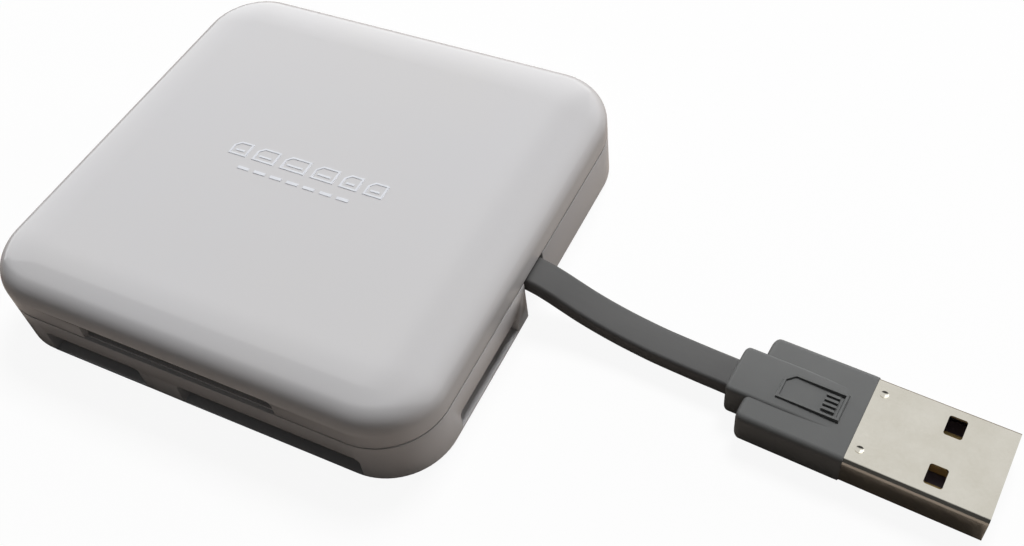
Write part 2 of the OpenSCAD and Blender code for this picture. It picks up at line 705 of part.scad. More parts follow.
// A plan whose two corners at x = 0 are round
module back_rounded(l, w, r, h) translate([0, 0, -h]) linear_extrude(2*h) {
    translate([r, -w/2]) square([l - r, w]);
    translate([0, r - w/2]) square([r, w - 2*r]);
    for (s = [-1, 1]) translate([r, s*(w/2 - r)]) circle(r, $fn = 48);
}

module plug_grip() color(grey) at_plug() difference() {
    union() {
        intersection() {
            rounded_bar(neck_l, shell_x, grip_w, grip_h, grip_r);
            translate([neck_l, 0, 0]) back_rounded(grip_l + over, grip_w, grip_corner, grip_h);
        }
        intersection() {
            rounded_bar(0, neck_l + over, neck_w, neck_h, neck_r);
            back_rounded(neck_l + 2*over, neck_w, neck_r, grip_h);
        }
        translate([neck_l + 0.2, -neck_w/2, grip_h/2 - over]) cube([grip_l - 1, neck_w, band_h + over]);
    }
    rounded_bar(shell_x - shell_in, shell_x + over, shell_w, shell_h, shell_r);
    for (y = contact_y) contact_bar(y, shell_x - shell_in - tail_l, shell_x);
}

// One flat contact between two places along the plug
module contact_bar(y, x0, x1) translate([x0, y - contact_w/2, contact_z])
    cube([x1 - x0, contact_w, contact_t]);
tongue_z = shell_t - shell_h/2;
contact_z = tongue_z + tongue_t + contact_rise - contact_t;

// A latch window with round corners
module window_outline() {
    translate([window_r, 0]) square([window[0] - 2*window_r, window[1]]);
    translate([0, window_r]) square([window[0], window[1] - 2*window_r]);
    for (x = [window_r, window[0] - window_r]) for (y = [window_r, window[1] - window_r])
        translate([x, y]) circle(window_r, $fn = 48);
}

// Folded steel shell, with latch windows above and below, and its seam underneath
module plug_shell() color(steel) at_plug() difference() {
    rounded_bar(shell_x - shell_in, tip_x, shell_w, shell_h, shell_r);
    rounded_bar(shell_x - shell_in - over, tip_x + over,
        shell_w - 2*shell_t, shell_h - 2*shell_t, shell_r - shell_t);
    for (s = [-1, 1]) translate([tip_x - window_tip - window[0], s*window_y - window[1]/2, -shell_h])
        linear_extrude(2*shell_h) window_outline();
    for (s = [-1, 1]) translate([tip_x - dimple_tip, s*dimple_y, shell_h/2 - dimple_deep + dimple_ball])
        sphere(r = dimple_ball, $fn = 48);
    seam_w = 0.12;
    translate([shell_x - shell_in - over, -seam_w/2, -shell_h])
        cube([shell_l + shell_in + 2*over, seam_w, shell_h]);
}

// Moulded tongue that carries the contacts, thick at the back where it fills the shell
module plug_tongue() color([0.1, 0.1, 0.11]) at_plug() difference() {
    w = shell_w - 2*shell_t - 2*tongue_gap;
    back = shell_x - shell_in + 0.2;
    intersection() {
        rounded_bar(back, tip_x - tongue_tip, w, shell_h - 2*shell_t, shell_r - shell_t);
        union() {
            translate([back - over, -w, -shell_h]) cube([tip_x - back, 2*w, shell_h + tongue_z + tongue_t]);
            translate([back - over, -w, -shell_h]) cube([tip_x - block_tip - back + over, 2*w, 2*shell_h]);
        }
    }
    for (k = [0:3]) contact_bar(contact_y[k], back - over, tip_x - contact_tip[k]);
}

module plug_contacts() color(gold) at_plug() for (k = [0:3])
    contact_bar(contact_y[k], shell_x - shell_in - tail_l, tip_x - contact_tip[k]);

top_cover();
bottom_cover();
circuit_board();
upper_socket_body();
upper_socket_shield();
upper_socket_contacts();
lower_socket_body();
lower_socket_contacts();
left_socket_body();
left_socket_shield();
left_socket_contacts();
side_socket_body();
side_socket_shield();
side_socket_contacts();
controller_chip();
controller_leads();
clock_crystal();
voltage_regulator();
regulator_leads();
bulk_capacitor();
capacitors();
resistors();
cable_grip();
wire_red();
wire_white();
wire_green();
wire_black();
usb_cable();
plug_grip();
plug_shell();
plug_tongue();
plug_contacts();
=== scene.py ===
from math import cos, pi, radians, sin, sqrt

import bmesh
import bpy
from mathutils import Matrix, Vector


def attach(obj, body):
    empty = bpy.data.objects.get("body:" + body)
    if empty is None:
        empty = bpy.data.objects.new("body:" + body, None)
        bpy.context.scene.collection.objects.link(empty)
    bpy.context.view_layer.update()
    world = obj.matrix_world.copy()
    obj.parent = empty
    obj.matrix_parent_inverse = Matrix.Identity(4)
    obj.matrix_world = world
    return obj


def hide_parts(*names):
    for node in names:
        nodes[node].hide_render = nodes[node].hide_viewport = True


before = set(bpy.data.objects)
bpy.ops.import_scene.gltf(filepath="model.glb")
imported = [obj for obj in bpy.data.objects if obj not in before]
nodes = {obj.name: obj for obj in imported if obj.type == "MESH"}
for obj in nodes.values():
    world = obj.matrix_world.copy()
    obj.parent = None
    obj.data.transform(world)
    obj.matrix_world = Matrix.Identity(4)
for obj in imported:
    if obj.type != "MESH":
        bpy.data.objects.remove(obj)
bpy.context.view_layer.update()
mm = 0.001
metre = 1000.0  # in millimetres
print("frame loaded:", len(nodes), "nodes")


def addObject(name, data):
    thing = bpy.data.objects.new(name, data)
    bpy.context.scene.collection.objects.link(thing)
    return thing


# Camera, at the photograph's angle

cameraView = {
    "place": (0.076776, -0.074986, 0.113722),
    "right": (0.89366, 0.43877, -0.09405),
    "down": (0.28919, -0.72342, -0.62691),
    "forward": (-0.3431, 0.53305, -0.7734),
    "lens": 39.9588,
    "sensor": 36.0,
    "clip": (0.01, 20),
}


def makeCamera(view):
    data = bpy.data.cameras.new("photoCamera")
    data.sensor_fit = "HORIZONTAL"
    data.sensor_width = view["sensor"]
    data.lens = view["lens"]
    data.clip_start, data.clip_end = view["clip"]
    camera = addObject("photoCamera", data)
    x, y, z = Vector(view["right"]), -Vector(view["down"]), -Vector(view["forward"])
    turn = Matrix((x, y, z)).transposed().to_4x4()
    camera.matrix_world = Matrix.Translation(view["place"]) @ turn
    bpy.context.scene.camera = camera


makeCamera(cameraView)


# Shader sums: a Wire is a socket that takes part in plain arithmetic

class Wire:
    def __init__(self, tree, socket):
        self.tree = tree
        self.socket = socket

    def maths(self, operation, *values):
        node = self.tree.nodes.new("ShaderNodeMath")
        node.operation = operation
        for place, value in enumerate(values):
            if isinstance(value, Wire):
                self.tree.links.new(value.socket, node.inputs[place])
            else:
                node.inputs[place].default_value = value
        return Wire(self.tree, node.outputs[0])

    def __add__(self, other):
        return self.maths("ADD", self, other)

    def __radd__(self, other):
        return self.maths("ADD", other, self)

    def __sub__(self, other):
        return self.maths("SUBTRACT", self, other)

    def __rsub__(self, other):
        return self.maths("SUBTRACT", other, self)

    def __mul__(self, other):
        return self.maths("MULTIPLY", self, other)

    def __rmul__(self, other):
        return self.maths("MULTIPLY", other, self)

    def __truediv__(self, other):
        return self.maths("DIVIDE", self, other)

    def top(self, other):
        return self.maths("MAXIMUM", self, other)

    def low(self, other):
        return self.maths("MINIMUM", self, other)

    def over(self, edge, soft):  # 0 below the edge, 1 above it, with a soft step
        return ((self - edge) / soft + 0.5).low(1.0).top(0.0)


class Nodes:
    def __init__(self, tree):
        self.tree = tree

    # one node of any type: settings first, then socket values or links
    def add(self, kind, settings=None, sockets=None, out=0):
        node = self.tree.nodes.new(kind)
        for name, value in (settings or {}).items():
            setattr(node, name, value)
        for name, value in (sockets or {}).items():
            socket = next(s for s in node.inputs if name in (s.identifier, s.name))
            if isinstance(value, Wire):
                self.tree.links.new(value.socket, socket)
            else:
                socket.default_value = value
        found = out if isinstance(out, int) else [s.identifier for s in node.outputs].index(out)
        return Wire(self.tree, node.outputs[found])

    # 1 for what the camera sees, straight or through something clear
    def seen(self):
        direct = self.add("ShaderNodeLightPath", out="Is Camera Ray")
        through = self.add("ShaderNodeLightPath", out="Is Transmission Ray")
        return (direct + through).low(1.0)


class Finish(Nodes):
    def __init__(self, name, **constants):
        self.material = bpy.data.materials.new(name)
        self.material.use_nodes = True
        super().__init__(self.material.node_tree)
        self.shader = self.tree.nodes["Principled BSDF"]
        for socket, value in constants.items():
            self.shader.inputs[socket.replace("_", " ")].default_value = value

    def place(self):
        return self.add("ShaderNodeTexCoord", out="Object")

    def noise(self, perMm, detail=3.0, rough=0.5, stretch=None):
        spot = self.place()
        if stretch:
            spot = self.add("ShaderNodeMapping", None, {"Vector": spot, "Scale": stretch})
        size = {"Vector": spot, "Scale": perMm * metre, "Detail": detail, "Roughness": rough}
        return self.add("ShaderNodeTexNoise", None, size)

    def tint(self, share, first, second):
        sockets = {"Factor_Float": share, "A_Color": (*first, 1), "B_Color": (*second, 1)}
        return self.add("ShaderNodeMix", {"data_type": "RGBA"}, sockets, "Result_Color")

    def feed(self, socket, wire):
        self.tree.links.new(wire.socket, self.shader.inputs[socket])

    def relief(self, height, depthMm, strength):
        sockets = {"Height": height, "Strength": strength, "Distance": depthMm * mm}
        self.feed("Normal", self.add("ShaderNodeBump", None, sockets))


# Finishes: sizes of noise are in waves per millimetre

whitePlastic = {
    "colour": (0.595, 0.593, 0.607), "warm": (0.605, 0.598, 0.60),
    "cloud": 0.035, "grain": 1.6, "warmFrom": 0.5, "warmSoft": 0.5,
    "roughness": 0.035, "cloudHaze": 0.02, "grainHaze": 0.01,
    "grainMm": 0.004, "relief": 0.25,
}


def makeWhitePlastic(name, look):
    finish = Finish(name, IOR=1.5)
    cloud = finish.noise(look["cloud"], 3)
    grain = finish.noise(look["grain"], 4)
    warmth = cloud.over(look["warmFrom"], look["warmSoft"])
    finish.feed("Base Color", finish.tint(warmth, look["colour"], look["warm"]))
    haze = look["roughness"] + look["cloudHaze"] * cloud + look["grainHaze"] * grain
    finish.feed("Roughness", haze)
    finish.relief(grain, look["grainMm"], look["relief"])
    return finish.material


gripPlastic = {
    "colour": (0.119, 0.122, 0.121), "pale": (0.153, 0.156, 0.154),
    "cloud": 0.35, "grain": 7.0, "cloudShare": 0.65, "grainShare": 0.35,
    "roughness": 0.52, "cloudHaze": 0.08, "grainHaze": 0.14,
    "grainMm": 0.012, "relief": 0.5,
}


def makeGripPlastic(name, look):
    finish = Finish(name, IOR=1.46)
    cloud = finish.noise(look["cloud"], 4)
    grain = finish.noise(look["grain"], 3, 0.6)
    mixed = look["cloudShare"] * cloud + look["grainShare"] * grain
    finish.feed("Base Color", finish.tint(mixed, look["colour"], look["pale"]))
    haze = look["roughness"] + look["grainHaze"] * (grain - 0.5) + look["cloudHaze"] * cloud
    finish.feed("Roughness", haze)
    finish.relief(grain, look["grainMm"], look["relief"])
    return finish.material


cableSheath = {
    "colour": (0.084, 0.084, 0.083), "pale": (0.107, 0.107, 0.106),
    "cloud": 0.25, "grain": 9.0, "lines": 1.5, "along": (0.12, 1.0, 1.0),
    "cloudShare": 0.5, "linesShare": 0.5,
    "roughness": 0.46, "cloudHaze": 0.1, "linesHaze": 0.08,
    "grainMm": 0.01, "linesLift": 0.6, "grainLift": 0.4, "relief": 0.4,
}


def makeCableSheath(name, look):
    finish = Finish(name, IOR=1.48)
    cloud = finish.noise(look["cloud"], 3)
    lines = finish.noise(look["lines"], 3, 0.5, look["along"])  # faint lines of the extrusion
    mixed = look["cloudShare"] * cloud + look["linesShare"] * lines
    finish.feed("Base Color", finish.tint(mixed, look["colour"], look["pale"]))
    haze = look["roughness"] + look["cloudHaze"] * cloud + look["linesHaze"] * (lines - 0.5)
    finish.feed("Roughness", haze)
    height = look["linesLift"] * lines + look["grainLift"] * finish.noise(look["grain"], 2)
    finish.relief(height, look["grainMm"], look["relief"])
    return finish.material


nickelSteel = {
    "colour": (0.725, 0.70, 0.63), "stain": (0.62, 0.59, 0.51),
    "cloud": 0.22, "speck": 2.6, "scratch": 2.0, "across": (0.15, 3.0, 3.0),
    "stainFrom": 0.52, "stainSoft": 0.4, "stainShare": 0.6, "speckShare": 0.4,
    "scratchFrom": 0.62, "scratchSoft": 0.06,
    "roughness": 0.11, "cloudHaze": 0.1, "scratchHaze": 0.08,
    "scratchMm": 0.004, "speckLift": 0.3, "scratchLift": 0.4, "cloudLift": 1.2, "relief": 0.4,
}


def makeNickelSteel(name, look):
    finish = Finish(name, Metallic=1.0)
    cloud = finish.noise(look["cloud"], 5, 0.62)
    speck = finish.noise(look["speck"], 4, 0.7)
    scratch = finish.noise(look["scratch"], 3, 0.5, look["across"])
    scratch = scratch.over(look["scratchFrom"], look["scratchSoft"])
    stain = cloud.over(look["stainFrom"], look["stainSoft"])
    mixed = look["stainShare"] * stain + look["speckShare"] * speck
    finish.feed("Base Color", finish.tint(mixed, look["colour"], look["stain"]))
    haze = look["roughness"] + look["cloudHaze"] * cloud + look["scratchHaze"] * scratch
    finish.feed("Roughness", haze)
    height = look["speckLift"] * speck + look["scratchLift"] * scratch + look["cloudLift"] * cloud
    finish.relief(height, look["scratchMm"], look["relief"])
    return finish.material


metal = {"grain": 4.0, "cloud": 0.3, "darker": 0.82, "haze": 0.15, "grainMm": 0.004, "relief": 0.4}


# a metal with a fine grain in one direction
def makeMetal(name, colour, roughness, stretch=(0.2, 2.0, 2.0)):
    finish = Finish(name, Metallic=1.0)
    grain = finish.noise(metal["grain"], 3, 0.5, stretch)
    cloud = finish.noise(metal["cloud"], 3)
    darker = tuple(metal["darker"] * c for c in colour)
    finish.feed("Base Color", finish.tint(cloud, colour, darker))
    finish.feed("Roughness", roughness + metal["haze"] * grain)
    finish.relief(grain, metal["grainMm"], metal["relief"])
    return finish.material


moulded = {"grain": 6.0, "cloud": 0.4, "paler": 1.25, "lift": 0.004, "haze": 0.12, "relief": 0.4}


# a plain moulded plastic with a little grain
def makeMoulded(name, colour, roughness, grainMm=0.006):
    finish = Finish(name, IOR=1.48)
    cloud = finish.noise(moulded["cloud"], 3)
    grain = finish.noise(moulded["grain"], 3)
    paler = tuple(min(1.0, moulded["paler"] * c + moulded["lift"]) for c in colour)
    finish.feed("Base Color", finish.tint(cloud, colour, paler))
    finish.feed("Roughness", roughness + moulded["haze"] * (grain - 0.5))
    finish.relief(grain, grainMm, moulded["relief"])
    return finish.material


boardFinish = {
    "mask": (0.012, 0.11, 0.045), "track": (0.03, 0.19, 0.08),
    "pitchMm": 1.6, "untidy": 0.25, "trackHalf": 0.09, "trackSoft": 0.03,
    "roughness": 0.32, "haze": 0.1, "grain": 3.0,
    "trackMm": 0.02, "relief": 0.6,
}


def makeBoard(name, look):
    finish = Finish(name, IOR=1.5)
    scale = metre / look["pitchMm"]
    cells = {"Vector": finish.place(), "Scale": scale, "Randomness": look["untidy"]}
    style = {"feature": "DISTANCE_TO_EDGE", "distance": "EUCLIDEAN"}
    between = finish.add("ShaderNodeTexVoronoi", style, cells)
    tracks = 1 - between.over(look["trackHalf"], look["trackSoft"])
    finish.feed("Base Color", finish.tint(tracks, look["mask"], look["track"]))
    finish.feed("Roughness", look["roughness"] + look["haze"] * finish.noise(look["grain"], 2))
    finish.relief(tracks, look["trackMm"], look["relief"])
    return finish.material


metals = {
    # colour, roughness and, for the can, a grain without direction
    "sheetSteel": ((0.62, 0.61, 0.58), 0.22),
    "tinnedLead": ((0.68, 0.68, 0.67), 0.25),
    "crystalCan": ((0.66, 0.65, 0.63), 0.18, (1.0, 1.0, 1.0)),
    "goldContact": ((0.62, 0.45, 0.2), 0.3),
}
mouldings = {
    # colour, roughness and, where it isn't the usual one, the grain's height in millimetres
    "markPlastic": ((0.66, 0.68, 0.72), 0.25, 0.002),
    "blackMould": ((0.028, 0.027, 0.026), 0.5),
    # painted light: a paler grey copy of the black socket plastic, so that the inside of the side
    # slot reads lighter
    "paintedLitSocketGrey": ((0.15, 0.15, 0.14), 0.5),
    "chipMould": ((0.022, 0.022, 0.025), 0.62, 0.015),
    "tongueMould": ((0.11, 0.085, 0.105), 0.4),
    "yellowCase": ((0.62, 0.33, 0.05), 0.4),
    "ceramic": ((0.36, 0.24, 0.14), 0.45),
    "wireRed": ((0.52, 0.02, 0.02), 0.42),
    "wireWhite": ((0.72, 0.72, 0.71), 0.42),
    "wireGreen": ((0.02, 0.27, 0.06), 0.42),
    "wireBlack": ((0.015, 0.015, 0.015), 0.42),
}
finishes = {
    "whitePlastic": makeWhitePlastic("whitePlastic", whitePlastic),
    "gripPlastic": makeGripPlastic("gripPlastic", gripPlastic),
    "cableSheath": makeCableSheath("cableSheath", cableSheath),
    "nickelSteel": makeNickelSteel("nickelSteel", nickelSteel),
    "board": makeBoard("board", boardFinish),
}
for name, values in metals.items():
    finishes[name] = makeMetal(name, *values)
for name, values in mouldings.items():
    finishes[name] = makeMoulded(name, *values)

finishNodes = {
    "whitePlastic": ("top_cover", "bottom_cover"),
    "board": ("circuit_board",),
    "blackMould": ("upper_socket_body", "lower_socket_body", "left_socket_body"),
    # the side socket gets the paler copy of the socket plastic, which is painted light in the side
    # slot
    "paintedLitSocketGrey": ("side_socket_body",),
    "sheetSteel": ("upper_socket_shield", "left_socket_shield", "side_socket_shield"),
    "goldContact": ("upper_socket_contacts", "lower_socket_contacts", "left_socket_contacts",
                    "side_socket_contacts", "plug_contacts"),
    "chipMould": ("controller_chip", "voltage_regulator", "resistors"),
    "tinnedLead": ("controller_leads", "regulator_leads"),
    "crystalCan": ("clock_crystal",),
    "yellowCase": ("bulk_capacitor",),
    "ceramic": ("capacitors",),
    "gripPlastic": ("cable_grip", "plug_grip"),
    "wireRed": ("wire_red",),
    "wireWhite": ("wire_white",),
    "wireGreen": ("wire_green",),
    "wireBlack": ("wire_black",),
    "cableSheath": ("usb_cable",),
    "nickelSteel": ("plug_shell",),
    "tongueMould": ("plug_tongue",),
}
cadSharp = 32  # degrees from which an edge of the solids stays sharp
for finish, names in finishNodes.items():
    for name in names:
        solid = nodes[name].data
        solid.materials.clear()
        solid.materials.append(finishes[finish])
        solid.shade_smooth()
        solid.set_sharp_from_angle(angle=radians(cadSharp))
print("finishes made:", len(finishes))


# Mesh helpers, all in millimetres

def addPiece(name, mesh, finish, sharp=30):
    mesh.transform(Matrix.Scale(mm, 4))
    mesh.materials.clear()
    mesh.materials.append(finishes[finish])
    mesh.shade_smooth()
    mesh.set_sharp_from_angle(angle=radians(sharp))
    piece = addObject(name, mesh)
    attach(piece, "root")
    return piece


def toMesh(name, work):
    bmesh.ops.recalc_face_normals(work, faces=work.faces)
    mesh = bpy.data.meshes.new(name)
    work.to_mesh(mesh)
    work.free()
    return mesh


# faces between neighbouring rows of vertices, each row a closed ring
def addSkin(work, rows):
    count = len(rows[0])
    for one, two in zip(rows, rows[1:]):
        for k in range(count):
            n = (k + 1) % count
            work.faces.new((one[k], one[n], two[n], two[k]))


# joins rings of equal length into a solid with capped ends
def addLoft(work, rings):
    rows = [[work.verts.new(p) for p in ring] for ring in rings]
    addSkin(work, rows)
    work.faces.new(rows[0][::-1])
    work.faces.new(rows[-1])


def addBox(work, low, high):
    addLoft(work, [[(low[0], low[1], z), (high[0], low[1], z), (high[0], high[1], z),
                    (low[0], high[1], z)] for z in (low[2], high[2])])


def addPost(work, centre, radius, low, high, sides=32):
    turns = [2 * pi * k / sides for k in range(sides)]
    addLoft(work, [[(centre[0] + radius * cos(a), centre[1] + radius * sin(a), z) for a in turns]
                   for z in (low, high)])


# one turn round four corner centres at (x, y) each way, at a distance from them
def roundTurn(x, y, reach, steps):
    points = []
    for k, (sx, sy) in enumerate(((1, 1), (-1, 1), (-1, -1), (1, -1))):
        for step in range(steps + 1):
            angle = radians(90 * k + 90 * step / steps)
            points.append((sx * x + reach * cos(angle), sy * y + reach * sin(angle)))
    return points


# a rounded rectangle's section as (across, up)
def roundSection(halfWidth, halfHeight, radius, steps=6):
    return roundTurn(halfWidth - radius, halfHeight - radius, radius, steps)


# points on an arc, in a profile of (reach, height)
def arc(centre, radius, first, last, steps):
    turns = [radians(first + (last - first) * k / steps) for k in range(steps + 1)]
    return [(centre[0] + radius * cos(a), centre[1] + radius * sin(a)) for a in turns]


# takes cutters out of a mesh
def carve(mesh, cutters, name):
    body = addObject("blank", mesh)
    tools = []
    for number, cutter in enumerate(cutters):
        tool = addObject("cutter" + str(number), cutter)
        step = body.modifiers.new("cut" + str(number), "BOOLEAN")
        step.operation = "DIFFERENCE"
        step.solver = "EXACT"
        step.object = tool
        tools.append(tool)
    bpy.context.view_layer.update()
    graph = bpy.context.evaluated_depsgraph_get()
    carved = bpy.data.meshes.new_from_object(body.evaluated_get(graph))
    carved.name = name
    for item in [body] + tools:
        bpy.data.objects.remove(item)
    return carved


# a slot's outline with two round upper corners, pushed through along one axis
def slotCutter(name, along, opening, first, last, radius, steps=6):
    centre, half = opening["centre"], opening["width"] / 2
    low, high = opening["low"], opening["high"]
    points = [(-half, low), (half, low)]
    points += arc((half - radius, high - radius), radius, 0, 90, steps)
    points += arc((radius - half, high - radius), radius, 90, 180, steps)
    work = bmesh.new()
    if along == "y":
        addLoft(work, [[(centre + u, w, z) for u, z in points] for w in (first, last)])
    else:
        addLoft(work, [[(w, centre + u, z) for u, z in points] for w in (first, last)])
    return toMesh(name, work)


def boxCutter(name, low, high):
    work = bmesh.new()
    addBox(work, low, high)
    return toMesh(name, work)


# rounds the edges of openings where they meet the outer wall
def softenOpenings(mesh, onWall, size, segments=2, weld=0.0005, sharp=50):
    work = bmesh.new()
    work.from_mesh(mesh)
    bmesh.ops.remove_doubles(work, verts=work.verts, dist=weld)
    edges = []
    for edge in work.edges:
        a, b = edge.verts[0].co, edge.verts[1].co
        if len(edge.link_faces) == 2 and onWall(a) and onWall(b):
            one, two = edge.link_faces
            if one.normal.angle(two.normal, 0) > radians(sharp):
                edges.append(edge)
    bmesh.ops.bevel(work, geom=edges, offset=size, segments=segments, profile=0.5, affect="EDGES")
    work.to_mesh(mesh)
    work.free()
    print("openings softened:", len(edges), "edges")


# Housing

housing = {
    "width": 63.0, "depth": 60.0, "corner": 8.5, "wall": 1.6,
    "seam": 7.2, "height": 13.0, "roof": 11.2, "roofRound": 2.0,
    "edge": 3.2, "shoulder": 22.0, "turn": 76.0, "upright": 0.8,
    "floor": 0.8, "bottomRound": 0.6,
    "lip": 0.7, "lipHigh": 0.9, "lipGap": 0.1, "line": 0.28, "lineDeep": 0.5,
    "rimRound": 0.05, "slotRound": 0.6, "openingRound": 0.14,
    "boardLow": 4.8, "boardHigh": 6.0,
    "steps": {"roof": 6, "rim": 3, "edge": 16, "shoulder": 12, "bottom": 8},  # in each round
}
slots = {
    "upper": {"centre": -0.45, "width": 27.9, "low": 6.2, "high": 9.45},
    "lower": {"centre": 11.0, "width": 25.8, "low": 0.5, "high": 3.9},
    "left": {"centre": -15.08, "width": 14.7, "low": 0.5, "high": 4.1},
    "side": {"centre": -12.45, "width": 14.7, "low": 0.8, "high": 3.4},
}
notch = {
    "middle": 0.3, "half": 2.55, "end": 26.5, "endWall": 1.6, "sill": 4.6,
    "channelWall": 1.0, "upperGap": 0.1, "lowerSink": 0.2,
}
posts = {
    "places": [(26.7, 7.15), (-26.7, -10.8), (24.9, 23.4), (-24.9, 23.4)],
    "radius": 1.5, "pin": 0.75, "pinTop": 7.4,
}
ribs = {"places": (-14.95, 14.95), "half": 0.5, "front": 3, "back": 25.4}
past = 1  # how far a cutter runs past the face that it opens
floorSink = 0.4  # height in the floor at which what stands on it starts
roofSink = 0.5  # how far what hangs from the roof reaches into it
near = 0.01  # distances that count as none, for finding edges
wallNear = 0.02
wallLean = 0.3  # the upper slot's wall leans in by less
notchDeep = 0.7  # the notch's edges lie this far in or less


# a profile of (reach, height) led round the housing
def makeShell(name, shape, profile, steps=18):
    x, y = shape["width"] / 2 - shape["corner"], shape["depth"] / 2 - shape["corner"]
    work = bmesh.new()
    addLoft(work, [[(*p, z) for p in roundTurn(x, y, reach, steps)] for reach, z in profile])
    return toMesh(name, work)


# the cable channel's two walls, and the wall at its end
def addChannel(work, low, high, reach, endHigh):
    back = notch["end"] - notch["endWall"]
    right, left = notch["middle"] - notch["half"], notch["middle"] + notch["half"]
    for y in (right - notch["channelWall"], left):
        addBox(work, (back, y, low), (reach, y + notch["channelWall"], high))
    addBox(work, (back, right, low), (notch["end"], left, endHigh))


def makeTopCover(shape):
    r, seam, roof, small = shape["corner"], shape["seam"], shape["roof"], shape["rimRound"]
    edge, shoulder, inner = shape["edge"], shape["shoulder"], shape["roofRound"]
    steps = shape["steps"]
    turn = radians(shape["turn"])
    drop = edge * sin(turn) + shoulder * (1 - sin(turn))
    edgeCentre = (r - edge, shape["height"] - drop)
    meet = (edgeCentre[0] + edge * cos(turn), edgeCentre[1] + edge * sin(turn))
    softCentre = (meet[0] - shoulder * cos(turn), meet[1] - shoulder * sin(turn))
    inside = r - shape["wall"]
    rebate = inside + shape["lip"] + shape["lipGap"]
    ledge = seam + shape["lipHigh"] + shape["lipGap"]
    profile = [(inside - inner, roof)]
    profile += arc((inside - inner, roof - inner), inner, 90, 0, steps["roof"])[1:]
    profile += [(inside, ledge), (rebate, ledge), (rebate, seam), (r - small, seam)]
    profile += arc((r - small, seam + small), small, -90, 0, steps["rim"])[1:]
    profile += [(r, seam + shape["upright"])]
    profile += arc(edgeCentre, edge, 0, shape["turn"], steps["edge"])
    profile += arc(softCentre, shoulder, shape["turn"], 90, steps["shoulder"])[1:]
    mesh = makeShell("topCover", shape, profile)
    opening = slots["upper"]
    front = -shape["depth"] / 2
    through = (front - past, front + shape["wall"] + past)
    cutter = slotCutter("upperCut", "y", opening, *through, shape["slotRound"])
    mesh = carve(mesh, [cutter], "topCover")

    def onSlot(p):
        inWidth = abs(p.x - opening["centre"]) < opening["width"] / 2 + near
        inHeight = seam - near < p.z < opening["high"] + near
        return p.y < front + wallLean and inWidth and inHeight

    softenOpenings(mesh, onSlot, shape["openingRound"])
    work = bmesh.new()
    work.from_mesh(mesh)
    for place in posts["places"]:
        addPost(work, place, posts["radius"], shape["boardHigh"], roof + roofSink)
    reach = shape["width"] / 2 - shape["wall"] - notch["upperGap"]
    addChannel(work, seam, roof + roofSink, reach, roof + roofSink)
    work.to_mesh(mesh)
    work.free()
    cover = addPiece("topCover", mesh, "whitePlastic")
    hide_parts("top_cover")


def makeBottomCover(shape):
    r, seam, line, deep = shape["corner"], shape["seam"], shape["line"], shape["lineDeep"]
    inside = r - shape["wall"]
    lip = inside + shape["lip"]
    small, low, steps = shape["rimRound"], shape["bottomRound"], shape["steps"]
    profile = [(inside, shape["floor"]), (inside, seam + shape["lipHigh"])]
    profile += [(lip, seam + shape["lipHigh"]), (lip, seam)]
    profile += [(r - deep, seam), (r - deep, seam - line), (r - small, seam - line)]
    profile += arc((r - small, seam - line - small), small, 90, 0, steps["rim"])[1:]
    profile += arc((r - low, low), low, 0, -90, steps["bottom"])
    mesh = makeShell("bottomCover", shape, profile)
    front, right, wall = -shape["depth"] / 2, shape["width"] / 2, shape["wall"]
    through = (front - past, front + wall + past)
    cutters = [slotCutter(name + "Cut", "y", slots[name], *through, shape["slotRound"])
               for name in ("lower", "left")]
    side, upper = slots["side"], slots["upper"]
    cutters.append(slotCutter("sideCut", "x", side, right - wall - past, right + past,
                              shape["slotRound"]))
    above = seam + 2 * past
    cutters.append(boxCutter("notchCut", (notch["end"], notch["middle"] - notch["half"], -past),
                             (right + past, notch["middle"] + notch["half"], above)))
    lipHalf = upper["width"] / 2
    cutters.append(boxCutter("lipCut", (upper["centre"] - lipHalf - past, through[0], seam),
                             (upper["centre"] + lipHalf + past, through[1], above)))
    mesh = carve(mesh, cutters, "bottomCover")

    def within(opening, across, z):
        inWidth = abs(across - opening["centre"]) < opening["width"] / 2 + near
        return inWidth and opening["low"] - near < z < opening["high"] + near

    def onOpening(p):
        atFront = p.y < front + wallNear
        if atFront and any(within(slots[name], p.x, p.z) for name in ("lower", "left")):
            return True
        if p.x > right - wallNear and within(side, p.y, p.z):
            return True
        atNotch = abs(abs(p.y - notch["middle"]) - notch["half"]) < near
        return p.x > right - notchDeep and atNotch and p.z < seam - line + near

    softenOpenings(mesh, onOpening, shape["openingRound"])
    work = bmesh.new()
    work.from_mesh(mesh)
    for place in posts["places"]:
        addPost(work, place, posts["radius"], floorSink, shape["boardLow"])
        addPost(work, place, posts["pin"], floorSink, posts["pinTop"])
    addChannel(work, floorSink, seam, right - wall + notch["lowerSink"], notch["sill"])
    for x in ribs["places"]:
        addBox(work, (x - ribs["half"], ribs["front"], floorSink),
               (x + ribs["half"], ribs["back"], shape["boardLow"]))
    work.to_mesh(mesh)
    work.free()
    tray = addPiece("bottomCover", mesh, "whitePlastic")
    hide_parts("bottom_cover")


makeTopCover(housing)
makeBottomCover(housing)
print("covers made")


# Generic mark on the top: a row of small card signs over a row of dashes

cardMark = {
    "cards": [(-9.9, 2.8), (-5.9, 3.4), (-1.4, 3.8), (3.1, 3.4), (7.0, 2.7), (10.6, 2.8)],
    "middle": -0.05, "height": 2.4, "line": 0.36, "cut": 0.8,
    "raise": 0.06, "sink": 0.02, "slope": 0.05,
    "barDown": 0.3, "barHalf": 0.15, "barIn": 0.75,
    "dashes": [-7.6, -5.1, -2.6, -0.1, 2.4, 4.9, 7.4], "dashLow": -2.95, "dash": (1.7, 0.45),
}
cutInward = 0.6  # by which a cut corner shrinks when its outline moves inward by 1


# a card's outline, with one corner cut off
def cardOutline(x, y, width, height, cut):
    left, right, low, high = x - width / 2, x + width / 2, y - height / 2, y + height / 2
    return [(left, low), (right, low), (right, high), (left + cut, high), (left, high - cut)]


